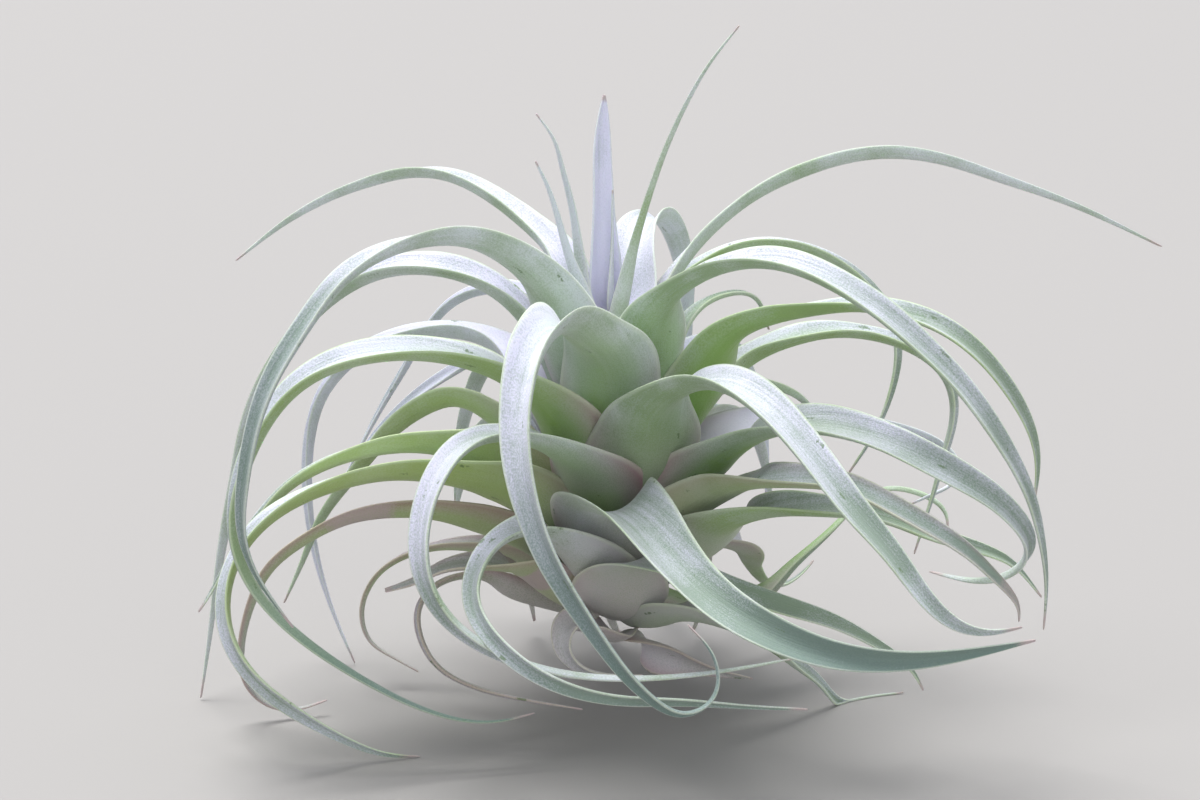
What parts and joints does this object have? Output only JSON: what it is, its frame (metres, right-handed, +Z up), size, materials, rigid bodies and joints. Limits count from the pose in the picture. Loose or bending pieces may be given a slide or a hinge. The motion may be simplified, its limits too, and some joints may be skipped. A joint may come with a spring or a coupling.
{
  "type": "air plant",
  "caption": "Air plant with a bulb of broad overlapping leaf bases and long channelled leaves that arch over, taper and curl under.",
  "frame": {"origin": "middle of the plant's outline seen from above, on the surface it stands on", "axes": "+Z up, +X to the right along the widest spread, -Y towards the front of the plant"},
  "size_m": [0.243, 0.1717, 0.1684],
  "materials": {
    "stem": "rough, dry",
    "silver_leaf": "leaf with a fine silver frost of scales on its upper face",
    "green_leaf": "leaf, greener, thinly frosted",
    "old_leaf": "leaf, older, greyer, partly dry"
  },
  "bodies": {
    "root": {"stem": "stem", "leaf_heart_1": "silver_leaf", "leaf_heart_2": "silver_leaf", "leaf_heart_3": "silver_leaf", "leaf_heart_4": "silver_leaf", "leaf_heart_5": "silver_leaf", "leaf_heart_6": "silver_leaf", "leaf_heart_7": "silver_leaf", "leaf_high_1": "silver_leaf", "leaf_high_2": "silver_leaf", "leaf_high_3": "silver_leaf", "leaf_high_4": "silver_leaf", "leaf_high_5": "silver_leaf", "leaf_high_6": "silver_leaf", "leaf_high_7": "green_leaf", "leaf_high_8": "green_leaf", "leaf_high_9": "silver_leaf", "leaf_middle_1": "silver_leaf", "leaf_middle_2": "green_leaf", "leaf_middle_3": "green_leaf", "leaf_middle_4": "green_leaf", "leaf_middle_5": "silver_leaf", "leaf_middle_6": "silver_leaf", "leaf_middle_7": "green_leaf", "leaf_middle_8": "silver_leaf", "leaf_middle_9": "silver_leaf", "leaf_middle_10": "green_leaf", "leaf_middle_11": "silver_leaf", "leaf_middle_12": "green_leaf", "leaf_lower_1": "silver_leaf", "leaf_lower_2": "silver_leaf", "leaf_lower_3": "green_leaf", "leaf_lower_4": "green_leaf", "leaf_lower_5": "old_leaf", "leaf_lower_6": "silver_leaf", "leaf_lower_7": "green_leaf", "leaf_lower_8": "old_leaf", "leaf_lower_9": "green_leaf", "leaf_lower_10": "green_leaf", "leaf_lower_11": "old_leaf", "leaf_lower_12": "old_leaf", "leaf_lower_13": "old_leaf", "leaf_lower_14": "old_leaf", "leaf_back_1": "silver_leaf", "leaf_back_2": "silver_leaf", "leaf_back_3": "silver_leaf", "leaf_back_4": "silver_leaf", "leaf_back_5": "silver_leaf", "leaf_back_6": "silver_leaf", "leaf_back_7": "silver_leaf", "leaf_back_8": "silver_leaf", "leaf_back_9": "silver_leaf", "leaf_back_10": "old_leaf", "leaf_back_11": "old_leaf", "leaf_back_12": "old_leaf", "leaf_back_13": "green_leaf"}
  },
  "joints": []
}
